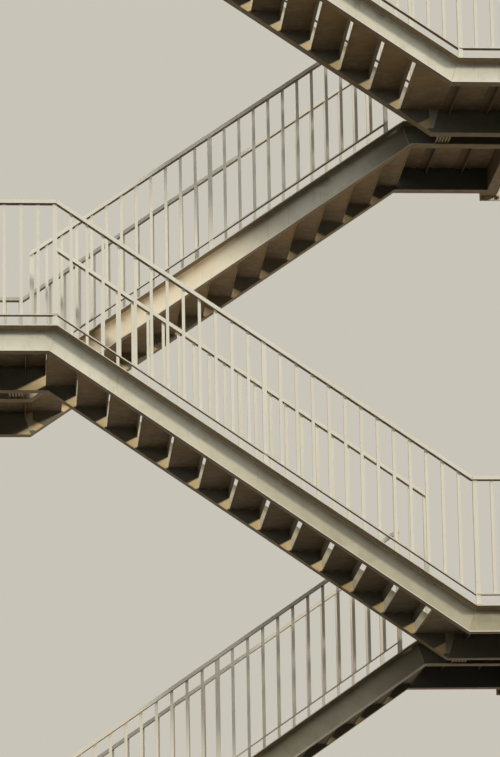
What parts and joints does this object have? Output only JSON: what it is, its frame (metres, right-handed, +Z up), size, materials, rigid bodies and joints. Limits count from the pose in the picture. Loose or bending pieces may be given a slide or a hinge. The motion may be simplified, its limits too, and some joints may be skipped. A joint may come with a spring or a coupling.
{
  "type": "fire escape stair",
  "caption": "External painted steel fire escape stair with two side-by-side lanes of zigzag flights, folded-plate treads, channel stringers, landings and barred railings, fixed to a wall.",
  "frame": {"origin": "centre of the wall face of the lowest landing's end wall plate", "axes": "+Z up, +Y into the wall that carries the stair, +X along the wall towards the foot of the first flight"},
  "size_m": [5.285, 3.15, 12.7827],
  "materials": {
    "channel_paint": "satin cream oil paint, greyed by dirt and streaked with rust at the welds",
    "step_paint": "satin cream oil paint, worn at the nosings and stained brown underneath",
    "railing_paint": "satin cream oil paint with small rust spots at the welds"
  },
  "bodies": {
    "root": {"flight_1_front_stringer": "channel_paint", "flight_1_rear_stringer": "channel_paint", "flight_1_steps": "step_paint", "flight_1_front_railing": "railing_paint", "flight_1_rear_railing": "railing_paint", "landing_1_floor": "step_paint", "landing_1_edge_channels": "channel_paint", "landing_1_cross_beams": "channel_paint", "landing_1_railing": "railing_paint", "flight_2_front_stringer": "channel_paint", "flight_2_rear_stringer": "channel_paint", "flight_2_steps": "step_paint", "flight_2_front_railing": "railing_paint", "flight_2_rear_railing": "railing_paint", "landing_2_floor": "step_paint", "landing_2_edge_channels": "channel_paint", "landing_2_cross_beams": "channel_paint", "landing_2_railing": "railing_paint", "flight_3_front_stringer": "channel_paint", "flight_3_rear_stringer": "channel_paint", "flight_3_steps": "step_paint", "flight_3_front_railing": "railing_paint", "flight_3_rear_railing": "railing_paint", "landing_3_floor": "step_paint", "landing_3_edge_channels": "channel_paint", "landing_3_cross_beams": "channel_paint", "landing_3_railing": "railing_paint", "flight_4_front_stringer": "channel_paint", "flight_4_rear_stringer": "channel_paint", "flight_4_steps": "step_paint", "flight_4_front_railing": "railing_paint", "flight_4_rear_railing": "railing_paint", "landing_4_floor": "step_paint", "landing_4_edge_channels": "channel_paint", "landing_4_cross_beams": "channel_paint", "landing_4_railing": "railing_paint", "flight_5_front_stringer": "channel_paint", "flight_5_rear_stringer": "channel_paint", "flight_5_steps": "step_paint", "flight_5_front_railing": "railing_paint", "flight_5_rear_railing": "railing_paint", "landing_5_floor": "step_paint", "landing_5_edge_channels": "channel_paint", "landing_5_cross_beams": "channel_paint", "landing_5_railing": "railing_paint"}
  },
  "joints": []
}
